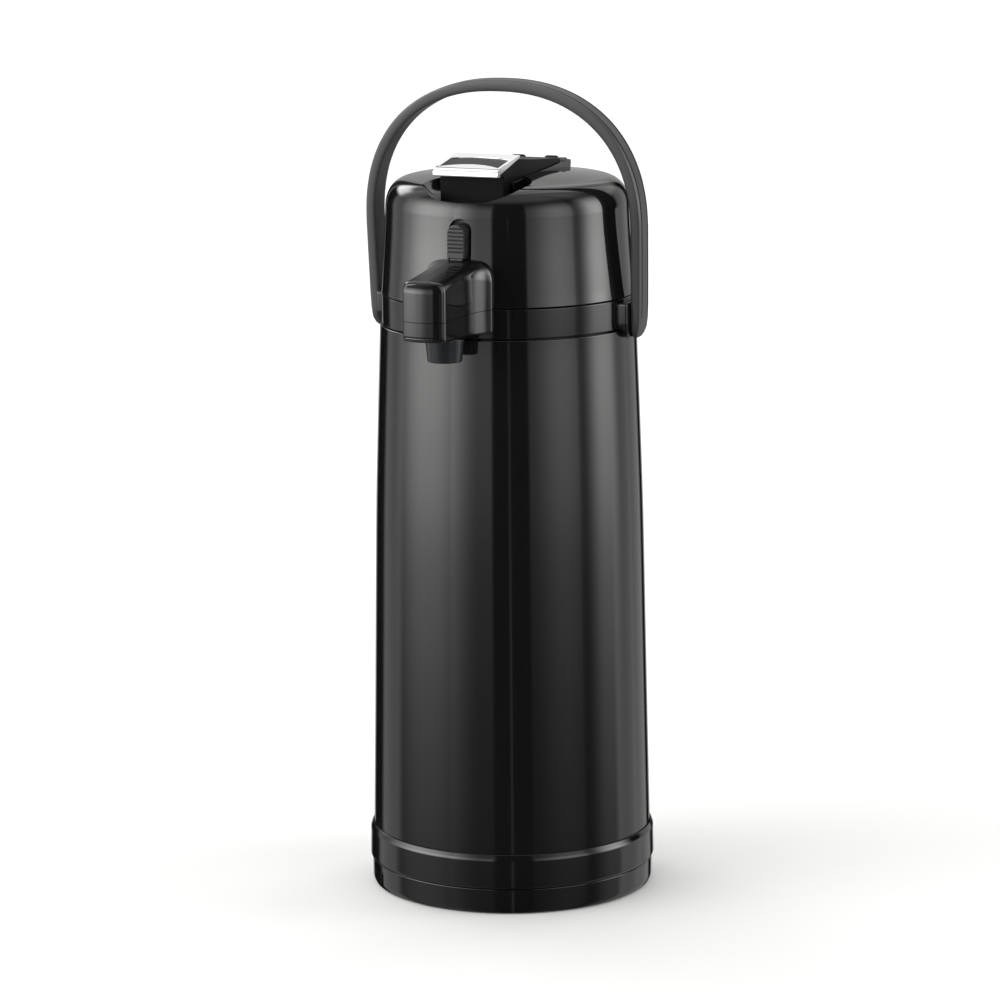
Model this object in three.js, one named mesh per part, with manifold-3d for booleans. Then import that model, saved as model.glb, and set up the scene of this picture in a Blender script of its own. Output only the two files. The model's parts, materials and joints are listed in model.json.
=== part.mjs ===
// Lever-action thermal coffee airpot, as an assembly of separate pieces.
// Millimetres, +Z up. The origin is on the body axis at the surface that it stands on.
// The spout points along -Y, and the carry handle turns about an axis along X.
import * as THREE from "three";
import { mergeVertices } from "three/addons/utils/BufferGeometryUtils.js";
import Module from "manifold-3d";

const wasm = await Module();
wasm.setup();

// ---- Driving dimensions ----

const CLEARANCE = 0.3;
const ROUND = 28; // segments of a large turned piece
const SMALL_ROUND = 16; // segments of a pin, a screw or a tube

const FOOT_RADIUS = 77.4;
const FOOT_TOP_Z = 13.9;
const FOOT_SLIT_DEGREES = [-45, 135];
const BAND_RADIUS = 78.5;
const BAND_BOTTOM_Z = 14.4;
const BODY_BOTTOM_Z = 20;
const BODY_TOP_Z = 310.6;
const BODY_WALL = 1.8;

const COLLAR_RADIUS = 68.4;
const COLLAR_BOTTOM_Z = 311;
const COLLAR_TOP_Z = 327.1;
const SEAM_Z = COLLAR_TOP_Z + CLEARANCE;

const NECK_RADIUS = 28.5;
const LINER_TOP_Z = 300;
const LINER_WALL = 1.8;
const VACUUM_GAP = 3.2;

const LID_RADIUS = 68.7;
const LID_BOTTOM_Z = 327.7;
const LID_WALL = 2.2;
const SHOULDER = { r: 51, z: 373, width: 14.8, height: 17, power: 2.3 };
const CROWN_RISE = 3;
const LID_HINGE = { y: 73.5, z: 325.5 };

const LEVER_HINGE = { y: 40, z: 391.6 };
const LEVER_HALF_WIDTH = 17;
const BLOCK_HALF_WIDTH = 18.2;
const CHROME_HALF_WIDTH = 18.4;
const DISH = { y: -44, floorZ: 382, floorRadius: 23, topRadius: 30, topZ: 391 };
const RIM_TOP = { frontZ: 390.8, rearZ: 394.8 };
const WELL = { frontY: -49.6, frontHalf: 18.6, stepY: -37.6, rearHalf: 17.4, rearY: 45.8 };

const SPOUT_HALF_WIDTH = 12;
const SPOUT_NOSE_Y = -117.4;
const SPOUT_BOTTOM_Z = 314.5; // where it leaves the collar; it rises towards the nose
const SPOUT_NOSE_RISE = 1.7;
const SPOUT_FLOOR = 2.2;
const SEAM_DROP = 0.7; // how far the spout's seam has fallen at the nose
const PAD_HALF_WIDTH = 19;
const PAD_RADIUS = 71.3;
const PAD_BOTTOM_Z = 311.4;
const PAD_TOP_Z = 353.4;
const PAD_CORNER = 12;
const NOZZLE_Y = -87.5;

const HANDLE_PIVOT_Z = 317;
const HANDLE_ARCH_Z = 365;
const HANDLE_HALF_SPAN = 79.8;
const HANDLE_RISE = 77.5;
const HANDLE_POWER = 2.27;
const HANDLE_THICKNESS = 5.7;
const HANDLE_WIDTH = 14;
const HANDLE_LEAN_DEG = 3;
const PIVOT_RADIUS = 3;
const LUG_HALF_WIDTH = 12;
const LUG_TOP_Z = 325.6;
const LUG_BOTTOM_Z = 306;

const BELLOWS_RADIUS = 50;
const BELLOWS_BOTTOM_Z = 330.8;
const BELLOWS_TOP_Z = 358;

const LATCH = { faceY: -72.4, half: 4.8, bottomZ: 354, arcZ: 367, slotHalf: 6.5, slotBottomZ: 352.2 };
const LATCH_TRAVEL = 2.2;

// ---- Materials ----

const paint = (color, roughness, metalness = 0) =>
  new THREE.MeshStandardMaterial({ color, roughness, metalness });
const MATERIALS = {
  glossBlack: paint(0x17171a, 0.15),
  satinBlack: paint(0x2a2a2e, 0.5),
  chrome: paint(0xe6e8ea, 0.08, 1),
  rubber: paint(0x202020, 0.9),
  silicone: paint(0xd8d4c8, 0.6),
  innerPlastic: paint(0x3a3a3c, 0.55),
  liner: paint(0xc9ced2, 0.12, 0.6),
  steel: paint(0xb4b6b8, 0.3, 1),
};

// ---- Solids ----

function solidOf(geometry) {
  geometry.deleteAttribute("normal");
  geometry.deleteAttribute("uv");
  const merged = mergeVertices(geometry, 1e-4);
  const index = merged.index.array;
  const triVerts = [];
  for (let i = 0; i < index.length; i += 3) {
    const [a, b, c] = [index[i], index[i + 1], index[i + 2]];
    if (a !== b && b !== c && c !== a) triVerts.push(a, b, c);
  }
  const make = (triangles) =>
    new wasm.Manifold(
      new wasm.Mesh({
        numProp: 3,
        vertProperties: merged.attributes.position.array,
        triVerts: new Uint32Array(triangles),
      }),
    );
  const made = make(triVerts);
  return made.volume() < 0 ? make(triVerts.reverse()) : made;
}

const union = (...solids) => solids.reduce((whole, next) => whole.add(next));
const cut = (solid, ...tools) => tools.reduce((left, tool) => left.subtract(tool), solid);

// A solid turned about a vertical axis at (x, y), from [radius, height] points.
function turned(points, segments = ROUND, x = 0, y = 0) {
  const profile = points.map(([r, z]) => new THREE.Vector2(r, z));
  const geometry = new THREE.LatheGeometry(profile, segments);
  return solidOf(geometry.rotateX(Math.PI / 2).translate(x, y, 0));
}

// The same, for a ring whose profile closes on itself.
const turnedRing = (points, segments = ROUND, x = 0, y = 0) =>
  turned([...points, points[0]], segments, x, y);

function block([x0, x1], [y0, y1], [z0, z1]) {
  const geometry = new THREE.BoxGeometry(x1 - x0, y1 - y0, z1 - z0);
  return solidOf(geometry.translate((x0 + x1) / 2, (y0 + y1) / 2, (z0 + z1) / 2));
}

const axis = (x, y, z) => new THREE.Vector3(x, y, z);
const PLANES = {
  // [direction of the outline's first axis, of its second axis, of the extrusion]
  x: [axis(0, 1, 0), axis(0, 0, 1), axis(1, 0, 0)],
  y: [axis(1, 0, 0), axis(0, 0, 1), axis(0, -1, 0)],
  z: [axis(1, 0, 0), axis(0, 1, 0), axis(0, 0, 1)],
};

// An outline extruded along X, Y or Z between two places on that axis.
function prism(along, shape, from, to) {
  const outline = Array.isArray(shape)
    ? new THREE.Shape(shape.map(([a, b]) => new THREE.Vector2(a, b)))
    : shape;
  const geometry = new THREE.ExtrudeGeometry(outline, {
    depth: to - from,
    bevelEnabled: false,
    curveSegments: 8,
  });
  const basis = new THREE.Matrix4().makeBasis(...PLANES[along]);
  const start = along === "y" ? -to : from;
  geometry.translate(0, 0, start);
  return solidOf(geometry.applyMatrix4(basis));
}

// A round rod along X, Y or Z; [a, b] is its place in the plane across it.
function rod(along, radius, [a, b], from, to, segments = SMALL_ROUND) {
  const shape = new THREE.Shape();
  shape.absarc(a, b, radius, 0, 2 * Math.PI, false);
  const points = shape.getPoints(segments / 2).slice(0, -1);
  return prism(along, points.map((p) => [p.x, p.y]), from, to);
}

// A tube with a bore, or a solid wire when the bore is 0, along a curve.
function tube(curve, radius, bore, steps, sides = 12) {
  const section = new THREE.Shape();
  section.absarc(0, 0, radius, 0, 2 * Math.PI, false);
  if (bore > 0) {
    const hole = new THREE.Path();
    hole.absarc(0, 0, bore, 0, 2 * Math.PI, true);
    section.holes.push(hole);
  }
  const geometry = new THREE.ExtrudeGeometry(section, {
    steps,
    curveSegments: sides / 2,
    extrudePath: curve,
  });
  return solidOf(geometry);
}

class Helix extends THREE.Curve {
  constructor(radius, turns, [x, y], z0, z1) {
    super();
    Object.assign(this, { radius, turns, x, y, z0, z1 });
  }
  getPoint(t, target = new THREE.Vector3()) {
    const angle = 2 * Math.PI * this.turns * t;
    return target.set(
      this.x + this.radius * Math.cos(angle),
      this.y + this.radius * Math.sin(angle),
      this.z0 + (this.z1 - this.z0) * t,
    );
  }
}

const onBothSides = (make) => union(make(1), make(-1));
// [low, high] of a range given on the +X side, on either side.
const sided = (side, from, to) => (side > 0 ? [from, to] : [-to, -from]);

// A profile moved along its own normals, outwards for a positive distance.
function offsetProfile(points, distance) {
  return points.map(([r, z], i) => {
    const [ar, az] = points[Math.max(i - 1, 0)];
    const [br, bz] = points[Math.min(i + 1, points.length - 1)];
    const length = Math.hypot(br - ar, bz - az);
    const moved = r === 0 ? 0 : r + (distance * (bz - az)) / length;
    return [moved, z - (distance * (br - ar)) / length];
  });
}

// ---- Base ----

function swivelFoot() {
  const body = turned([
    [0, 0],
    [9, 0],
    [9, 4.6],
    [72.4, 4.6],
    [72.4, 0.4],
    [FOOT_RADIUS - 1.2, 0.4],
    [FOOT_RADIUS, 1.8],
    [FOOT_RADIUS, FOOT_TOP_Z - 0.7],
    [FOOT_RADIUS - 0.6, FOOT_TOP_Z],
    [72, FOOT_TOP_Z],
    [72, 7.4],
    [68.4, 7.4],
    [68.4, 10.7],
    [59.6, 10.7],
    [59.6, 7.4],
    [8.5, 7.4],
    [5.8, 10],
    [5.8, 17.2],
    [4.8, 17.2],
    [4.8, 19.1],
    [5.8, 19.1],
    [5.2, 20.4],
    [0, 20.4],
  ]);
  const slits = FOOT_SLIT_DEGREES.map((degrees) =>
    block([-1.2, 1.2], [FOOT_RADIUS - 1.3, FOOT_RADIUS + 2], [2.8, 9.6]).rotate([0, 0, degrees]),
  );
  return cut(body, ...slits);
}

const footRubberRing = () =>
  turnedRing([
    [61, 0],
    [71, 0],
    [72, 1],
    [72, 4.3],
    [60, 4.3],
    [60, 1],
  ]);

const glideRing = () =>
  turnedRing([
    [60.2, 11],
    [67.8, 11],
    [67.8, 14.1],
    [60.2, 14.1],
  ]);

const swivelClip = () =>
  turnedRing(
    [
      [5.1, 17.5],
      [9.6, 17.5],
      [9.6, 18.8],
      [5.1, 18.8],
    ],
    SMALL_ROUND,
  );

const baseBand = () =>
  turnedRing([
    [6.3, BAND_BOTTOM_Z],
    [BAND_RADIUS - 1.1, BAND_BOTTOM_Z],
    [BAND_RADIUS - 0.2, 15.2],
    [BAND_RADIUS, 16.4],
    [BAND_RADIUS - 0.4, 30.8],
    [BAND_RADIUS - 0.9, 31.5],
    [76.9, 33],
    [76.7, 33],
    [76.7, 19.7],
    [73.8, 19.7],
    [73.8, 28],
    [71.4, 28],
    [71.4, 17.2],
    [6.3, 17.2],
  ]);

const BODY_PROFILE = [
  [76.35, BODY_BOTTOM_Z],
  [76.2, 37],
  [75.05, 97],
  [74, 153],
  [72.9, 209],
  [71.5, 254],
  [69.9, 298],
  [69.5, BODY_TOP_Z],
];

const bodyShell = () =>
  turnedRing([
    ...BODY_PROFILE,
    ...BODY_PROFILE.map(([r, z]) => [r - BODY_WALL, z]).reverse(),
  ]);

const linerCushion = () =>
  turnedRing(
    [
      [12, 17.5],
      [34, 17.5],
      [34, 24],
      [28, 30],
      [28, 36.7],
      [14, 36.7],
      [12, 34],
    ],
    24,
  );

// ---- Vacuum liner and its neck ----

// The inside of the inner flask, from the middle of its bottom to the top of its neck.
const FLASK_INSIDE = [
  [0, 44],
  [26, 46.5],
  [47, 56],
  [58, 76],
  [59, 90],
  [59, 242],
  [54, 260],
  [37, 277],
  [NECK_RADIUS, 288],
  [NECK_RADIUS, LINER_TOP_Z],
];
const FLASK_RIM_Z = LINER_TOP_Z - 3; // the underside of the rim that joins the two flasks
const FLASK_SEGMENTS = 20;

function innerFlask() {
  const rimRadius = NECK_RADIUS + 2 * LINER_WALL + VACUUM_GAP;
  const outside = offsetProfile(FLASK_INSIDE, LINER_WALL).slice(0, -1);
  return turned(
    [
      ...FLASK_INSIDE,
      [rimRadius, LINER_TOP_Z],
      [rimRadius, FLASK_RIM_Z],
      [NECK_RADIUS + LINER_WALL, FLASK_RIM_Z],
      ...outside.reverse(),
    ],
    FLASK_SEGMENTS,
  );
}

// The outer flask, with the tip that the gap was pumped out through.
function outerFlask() {
  const topZ = FLASK_RIM_Z - CLEARANCE;
  const wall = (depth) => {
    const profile = offsetProfile(FLASK_INSIDE, depth);
    return [...profile.slice(0, -1), [profile.at(-1)[0], topZ]];
  };
  const outside = wall(2 * LINER_WALL + VACUUM_GAP);
  const bottomZ = outside[0][1];
  const tip = [
    [0, bottomZ - 6],
    [2.2, bottomZ - 5],
    [3, bottomZ],
  ];
  return turned(
    [...wall(LINER_WALL + VACUUM_GAP), ...outside.slice(1).reverse(), ...tip.reverse()],
    FLASK_SEGMENTS,
  );
}

const neckGasket = () =>
  turnedRing(
    [
      [28, 300.3],
      [34, 300.3],
      [34, 302.3],
      [28, 302.3],
    ],
    32,
  );

// ---- Collar ----

function collarRing() {
  return turnedRing([
    [COLLAR_RADIUS, COLLAR_BOTTOM_Z],
    [COLLAR_RADIUS, COLLAR_TOP_Z - 0.7],
    [COLLAR_RADIUS - 0.6, COLLAR_TOP_Z],
    [61.6, COLLAR_TOP_Z],
    [60.8, COLLAR_TOP_Z - 0.8],
    [60.8, 322],
    [44, 322],
    [33, 309.5],
    [27.6, 307.5],
    [27.6, 302.6],
    [34.5, 302.6],
    [34.5, 306.8],
    [45.5, 319.4],
    [65.8, 319.4],
    [65.8, 304],
    [67, 304],
    [67, COLLAR_BOTTOM_Z],
  ]);
}

// The lug beside the collar that carries one handle pivot.
function pivotLug(side) {
  const outline = new THREE.Shape();
  outline.moveTo(-LUG_HALF_WIDTH, LUG_TOP_Z);
  outline.lineTo(-LUG_HALF_WIDTH, LUG_BOTTOM_Z + 9);
  outline.quadraticCurveTo(-LUG_HALF_WIDTH, LUG_BOTTOM_Z, -3, LUG_BOTTOM_Z);
  outline.lineTo(3, LUG_BOTTOM_Z);
  outline.quadraticCurveTo(LUG_HALF_WIDTH, LUG_BOTTOM_Z, LUG_HALF_WIDTH, LUG_BOTTOM_Z + 9);
  outline.lineTo(LUG_HALF_WIDTH, LUG_TOP_Z);
  const lug = prism("x", outline, ...sided(side, 66, 73));
  const bodyRoom = rod("z", 70.1, [0, 0], 300, COLLAR_BOTTOM_Z, ROUND);
  return cut(lug, bodyRoom);
}

function hingeEar(side) {
  const { y, z } = LID_HINGE;
  const outline = [
    [66.4, 312],
    [70, 312],
    [y + 4.4, z - 2],
    [y + 4.4, z + 1.4],
    [y + 2.2, z + 4.2],
    [y - 2.2, z + 4.2],
    [y - 4.2, z + 1.5],
    [66.4, z + 1.5],
  ];
  return prism("x", outline, ...sided(side, 12.2, 17.2));
}

const deliveryHole = (radius) =>
  tube(
    new THREE.LineCurve3(axis(0, -33, 313.7), axis(0, -71, 321.2)),
    radius,
    0,
    1,
  );

function screwHole(side) {
  return rod("y", 1.55, [side * 13.5, 316.9], -75, -58);
}

const pivotHole = (side) =>
  rod("x", PIVOT_RADIUS + 0.35, [0, HANDLE_PIVOT_Z], ...sided(side, 64, 76.8));

function collar() {
  const whole = union(
    collarRing(),
    onBothSides(pivotLug),
    onBothSides(hingeEar),
  );
  return cut(
    whole,
    onBothSides(pivotHole),
    rod("x", 2.35, [LID_HINGE.y, LID_HINGE.z], -20, 20),
    deliveryHole(3.7),
    onBothSides(screwHole),
  );
}

const lidHingePin = () => rod("x", 2, [LID_HINGE.y, LID_HINGE.z], -17, 17);

// ---- Inner stem ----

const stemSeat = () =>
  cut(
    turnedRing(
      [
        [5, 304],
        [27, 304],
        [27, 308],
        [31.5, 309.9],
        [31, 311],
        [26, 309.6],
        [24.5, 306.4],
        [5, 306.4],
      ],
      20,
    ),
    ...[30, 150, 270].map((degrees) => {
      const angle = (degrees * Math.PI) / 180;
      return rod("z", 2.6, [15 * Math.cos(angle), 15 * Math.sin(angle)], 300, 312);
    }),
    block([-4.2, 4.2], [-34, -20], [306.8, 314]),
  );

const dipTube = () =>
  turnedRing(
    [
      [3.3, 52],
      [4.6, 52],
      [4.6, 306.9],
      [3.3, 306.9],
    ],
    SMALL_ROUND,
  );

const deliveryElbow = () =>
  tube(
    new THREE.CubicBezierCurve3(
      axis(0, 0, 307.2),
      axis(0, 0, 316),
      axis(0, -14, 310.2),
      axis(0, -32.7, 313.5),
    ),
    3.2,
    2.2,
    6,
    8,
  );

const deliveryTube = () =>
  tube(
    new THREE.CatmullRomCurve3([
      axis(0, -33.1, 313.7),
      axis(0, -50, 317.1),
      axis(0, -70, 321),
      axis(0, -80, 322.4),
      axis(0, -86.6, 320.6),
      axis(0, NOZZLE_Y, 316),
    ]),
    3.2,
    2.2,
    10,
    8,
  );

// ---- Spout ----

function armPlan() {
  const half = SPOUT_HALF_WIDTH;
  const nose = SPOUT_NOSE_Y;
  const shape = new THREE.Shape();
  shape.moveTo(-PAD_HALF_WIDTH, -64);
  shape.lineTo(-PAD_HALF_WIDTH, -68.6);
  shape.quadraticCurveTo(-half - 0.6, -76, -half, -94);
  shape.lineTo(-half, nose + 4.5);
  shape.quadraticCurveTo(-half, nose, -half + 4, nose - 0.6);
  shape.quadraticCurveTo(0, nose - 2.2, half - 4, nose - 0.6);
  shape.quadraticCurveTo(half, nose, half, nose + 4.5);
  shape.lineTo(half, -94);
  shape.quadraticCurveTo(half + 0.6, -76, PAD_HALF_WIDTH, -68.6);
  shape.lineTo(PAD_HALF_WIDTH, -64);
  return shape;
}

const NOSE_BOTTOM_Z = SPOUT_BOTTOM_Z + SPOUT_NOSE_RISE;
const armSide = () => [
  [-64, SPOUT_BOTTOM_Z],
  [SPOUT_NOSE_Y + 3, NOSE_BOTTOM_Z],
  [SPOUT_NOSE_Y - 1.4, NOSE_BOTTOM_Z + 2.6],
  [SPOUT_NOSE_Y - 2.4, SEAM_Z],
  [SPOUT_NOSE_Y - 1, 344.4],
  [SPOUT_NOSE_Y + 2, 347.6],
  [-106, 349],
  [-86, 351.2],
  [-71, PAD_TOP_Z],
  [-64, PAD_TOP_Z],
];

// The pad that hugs the collar and the lid, with rounded top corners.
function spoutPad() {
  const half = PAD_HALF_WIDTH;
  const outline = new THREE.Shape();
  outline.moveTo(-half, PAD_BOTTOM_Z);
  outline.lineTo(half, PAD_BOTTOM_Z);
  outline.lineTo(half, PAD_TOP_Z - PAD_CORNER);
  outline.quadraticCurveTo(half, PAD_TOP_Z, half - PAD_CORNER, PAD_TOP_Z);
  outline.lineTo(PAD_CORNER - half, PAD_TOP_Z);
  outline.quadraticCurveTo(-half, PAD_TOP_Z, -half, PAD_TOP_Z - PAD_CORNER);
  const slab = prism("y", outline, -PAD_RADIUS - 1, -60);
  return slab.intersect(rod("z", PAD_RADIUS, [0, 0], 305, 360, 72));
}

// The room that the collar and the closed lid take behind the spout.
const spoutBackRoom = () =>
  turned(
    [
      [0, 300],
      [COLLAR_RADIUS + 0.4, 300],
      [COLLAR_RADIUS + 0.4, SEAM_Z + 0.2],
      [LID_RADIUS + 0.5, SEAM_Z + 0.2],
      [LID_RADIUS, 333],
      [67.5, 352],
      [67.5, 360],
      [0, 360],
    ],
    72,
  );

function spoutOuter() {
  const arm = prism("z", armPlan(), 300, 360).intersect(prism("x", armSide(), -25, 25));
  return cut(union(arm, spoutPad()), spoutBackRoom());
}

const spoutHollow = () =>
  prism(
    "x",
    [
      [-66, SPOUT_BOTTOM_Z + SPOUT_FLOOR],
      [SPOUT_NOSE_Y + 2.6, NOSE_BOTTOM_Z + SPOUT_FLOOR],
      [SPOUT_NOSE_Y + 1.4, 342],
      [-106, 346],
      [-74, 348.4],
      [-66, 348.4],
    ],
    2.2 - SPOUT_HALF_WIDTH,
    SPOUT_HALF_WIDTH - 2.2,
  );

const latchNotch = () => block([-4.1, 4.1], [-72.3, -68.3], [350.8, 358]);

// All that lies above the spout's seam, or below it, with a side's worth of clearance.
function seamSide(clearance, farZ) {
  const line = [
    [-40, SEAM_Z],
    [-72, SEAM_Z],
    [-140, SEAM_Z - (SEAM_DROP * (140 - 72)) / (-72 - SPOUT_NOSE_Y)],
  ];
  const edge = line.map(([y, z]) => [y, z - clearance]);
  return prism("x", [...edge, [-140, farZ], [-40, farZ]], -40, 40);
}

const spoutUpperShell = () =>
  cut(spoutOuter(), spoutHollow(), latchNotch(), seamSide(0, 290));

const spoutLowerShell = () =>
  cut(
    spoutOuter(),
    spoutHollow(),
    onBothSides(screwHole),
    rod("z", 8.4, [0, NOZZLE_Y], 310, 319),
    seamSide(CLEARANCE, 370),
  );

const spoutNozzle = () =>
  turnedRing(
    [
      [6, 302],
      [9, 302],
      [10.3, SPOUT_BOTTOM_Z - CLEARANCE],
      [8, SPOUT_BOTTOM_Z - CLEARANCE],
      [8, 318.4],
      [5.4, 318.4],
      [5.4, 310],
    ],
    28,
    0,
    NOZZLE_Y,
  );

const spoutScrew = (side) =>
  union(
    rod("y", 2.2, [side * 13.5, 316.9], -63.5, -61.8, 12),
    rod("y", 1.2, [side * 13.5, 316.9], -74, -63.4, 10),
  );

// ---- Carry handle ----

// Half of the arch, from the top to the end of the leg, at a depth inside its outer face.
function handleHalf(depth) {
  const across = HANDLE_HALF_SPAN - depth;
  const up = HANDLE_RISE - depth;
  const steps = 16;
  const arch = Array.from({ length: steps + 1 }, (_, i) => {
    const angle = ((90 - (90 * i) / steps) * Math.PI) / 180;
    const x = across * Math.cos(angle) ** (2 / HANDLE_POWER);
    const z = up * Math.sin(angle) ** (2 / HANDLE_POWER);
    return [x, HANDLE_ARCH_Z + z];
  });
  return [...arch, [HANDLE_HALF_SPAN - 0.8 - depth, 324]];
}

function handle() {
  const outer = handleHalf(0);
  const inner = handleHalf(HANDLE_THICKNESS);
  const foot = [
    [HANDLE_HALF_SPAN - 1.6, 314],
    [HANDLE_HALF_SPAN - 3.6, 307.6],
    [HANDLE_HALF_SPAN - 5.4, 305.4],
    [73.3, 305.4],
  ];
  const half = [...outer, ...foot, ...inner.reverse()];
  const otherHalf = half.map(([x, z]) => [-x, z]).reverse().slice(1, -1);
  const strap = prism("y", [...half, ...otherHalf], -HANDLE_WIDTH / 2, HANDLE_WIDTH / 2);
  const upright = cut(strap, onBothSides(pivotHole));
  return upright
    .translate([0, 0, -HANDLE_PIVOT_Z])
    .rotate([HANDLE_LEAN_DEG, 0, 0])
    .translate([0, 0, HANDLE_PIVOT_Z]);
}

const handlePivot = (side) =>
  rod("x", PIVOT_RADIUS, [0, HANDLE_PIVOT_Z], ...sided(side, 66.2, 76.4));

// ---- Lid ----

function lidProfile() {
  const { r, z, width, height, power } = SHOULDER;
  const steps = 5;
  const arc = Array.from({ length: steps + 1 }, (_, i) => {
    const angle = (90 * i * Math.PI) / 180 / steps;
    return [
      r + width * Math.cos(angle) ** (2 / power),
      z + height * Math.sin(angle) ** (2 / power),
    ];
  });
  const crown = [30, 0].map((radius) => [
    radius,
    z + height + CROWN_RISE * (1 - (radius / r) ** 2),
  ]);
  return [[LID_RADIUS, LID_BOTTOM_Z], [68.2, 333], [66.4, 360], ...arc, ...crown];
}

const dish = (grow) =>
  turned(
    [
      [0, DISH.floorZ - grow],
      [DISH.floorRadius + grow, DISH.floorZ - grow],
      [DISH.topRadius + grow, DISH.topZ],
      [DISH.topRadius + grow + 3, DISH.topZ + 6],
      [0, DISH.topZ + 6],
    ],
    24,
    0,
    DISH.y,
  );

function lidShell() {
  const outer = turned([[0, LID_BOTTOM_Z], ...lidProfile()]);
  const inner = lidProfile().map(([r, z], i, all) => {
    const last = all.length - 1;
    const [or, oz] = offsetProfile(all, -LID_WALL)[i];
    return [i === last ? 0 : or, i === 0 ? LID_BOTTOM_Z - 1 : oz];
  });
  const room = turned([[0, LID_BOTTOM_Z - 1], ...inner]);
  return cut(outer, dish(0), cut(room, dish(LID_WALL)));
}

// The raised rim round the lever, level with the crown in front and tall behind.
function leverRim() {
  const rearY = WELL.rearY + 1.2;
  const side = [
    [WELL.stepY + 1, 386],
    [rearY - 1.6, 386],
    [rearY, 394],
    [rearY - 1, RIM_TOP.rearZ],
    [WELL.stepY + 1, RIM_TOP.frontZ],
  ];
  const outer = prism("x", side, -WELL.frontHalf, WELL.frontHalf);
  const room = block([-WELL.rearHalf, WELL.rearHalf], [-60, WELL.rearY], [380, 400]);
  return cut(outer, room);
}

const leverLug = (side) => {
  const { y, z } = LEVER_HINGE;
  const span = sided(side, 13.4, WELL.rearHalf + 0.4);
  const foot = block(span, [y - 4, WELL.rearY + 0.4], [386, z]);
  return union(foot, rod("x", 4.6, [y, z], ...span));
};

const SCREW_PLACES = [
  [41, -36.7],
  [-41, -36.7],
  [41, 36.7],
  [-41, 36.7],
];

const lidKnuckle = () =>
  union(
    rod("x", 4.2, [LID_HINGE.y, LID_HINGE.z], -11.8, 11.8),
    prism(
      "x",
      [
        [67, 328.2],
        [69.5, 326.4],
        [LID_HINGE.y + 4.1, LID_HINGE.z],
        [LID_HINGE.y + 3.6, 330],
        [68, 340],
        [66, 340],
        [66, 328.2],
      ],
      -11.8,
      11.8,
    ),
  );

// An outline with straight sides from a height up, and a round top about another.
function archShape(half, bottomZ, arcZ) {
  const shape = new THREE.Shape();
  shape.moveTo(-half, bottomZ);
  shape.lineTo(half, bottomZ);
  shape.lineTo(half, arcZ);
  shape.absarc(0, arcZ, half, 0, Math.PI, false);
  shape.lineTo(-half, bottomZ);
  return shape;
}

const SLOT_ARC_Z = LATCH.arcZ + LATCH.half - LATCH.slotHalf + LATCH_TRAVEL;
const latchSlot = () =>
  prism("y", archShape(LATCH.slotHalf, LATCH.slotBottomZ, SLOT_ARC_Z), -75, -56);

function lidDome() {
  const columns = SCREW_PLACES.map((place) => rod("z", 3.6, place, 330.8, 387.2, 10));
  const whole = union(lidShell(), leverRim(), lidKnuckle(), ...columns);
  const well = union(
    block([-WELL.frontHalf, WELL.frontHalf], [WELL.frontY, WELL.stepY], [376, 400]),
    block([-WELL.rearHalf, WELL.rearHalf], [WELL.stepY - 1, WELL.rearY], [376, 400]),
  );
  const screwHoles = SCREW_PLACES.map((place) => rod("z", 1.5, place, 320, 345, 10));
  const hollowed = cut(whole, well, latchSlot(), ...screwHoles);
  return cut(
    union(hollowed, onBothSides(leverLug)),
    rod("x", 2.3, [LEVER_HINGE.y, LEVER_HINGE.z], -17.2, 17.2),
    rod("x", 2.35, [LID_HINGE.y, LID_HINGE.z], -20, 20),
  );
}

const leverHingePin = () => rod("x", 2, [LEVER_HINGE.y, LEVER_HINGE.z], -16.9, 16.9);

// The lid's inner floor, with the bridge that holds the top of the latch spring.
function lidBase() {
  const floor = turnedRing([
    [2.6, 328],
    [45.5, 328],
    [45.5, 325.2],
    [50.5, 325.2],
    [50.5, 328],
    [64, 328],
    [64, 330.5],
    [2.6, 330.5],
  ]);
  const bridgeY = [-58.4, -54];
  const bridge = union(
    block([-8.8, 8.8], bridgeY, [362.3, 364.4]),
    block([6.2, 8.8], bridgeY, [330, 363]),
    block([-8.8, -6.2], bridgeY, [330, 363]),
  );
  const airPorts = [0, 90, 180, 270].map((degrees) => {
    const angle = (degrees * Math.PI) / 180;
    return rod("z", 1.6, [6 * Math.cos(angle), 6 * Math.sin(angle)], 320, 334, 8);
  });
  const screwHoles = SCREW_PLACES.map((place) => rod("z", 1.6, place, 320, 334, 10));
  return cut(union(floor, bridge), ...airPorts, ...screwHoles);
}

const lidScrew = (place) =>
  union(rod("z", 2.7, place, 325.9, 327.7, 12), rod("z", 1.2, place, 327.6, 342, 10));

const lidGasket = () =>
  turnedRing(
    [
      [44.6, 322.4],
      [51.2, 322.4],
      [50.6, 324.9],
      [45.2, 324.9],
    ],
    36,
  );

// ---- Pump ----

function bellows() {
  const folds = 3;
  const outer = Array.from({ length: 2 * folds + 1 }, (_, i) => [
    i % 2 ? BELLOWS_RADIUS - 8 : BELLOWS_RADIUS,
    BELLOWS_BOTTOM_Z + ((BELLOWS_TOP_Z - BELLOWS_BOTTOM_Z) * i) / (2 * folds),
  ]);
  const inner = outer.map(([r, z]) => [r - 1.6, z]).reverse();
  return turnedRing([...outer, ...inner], 20);
}

const returnSpring = () =>
  tube(new Helix(14, 4, [0, 0], BELLOWS_BOTTOM_Z + 1.2, BELLOWS_TOP_Z - 1), 0.9, 0, 44, 6);

const airValve = () =>
  turned(
    [
      [0, 324.6],
      [7.5, 326],
      [8.5, 327.2],
      [2, 327.6],
      [2, 331],
      [3.4, 331.5],
      [0, 334],
    ],
    SMALL_ROUND,
  );

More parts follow.
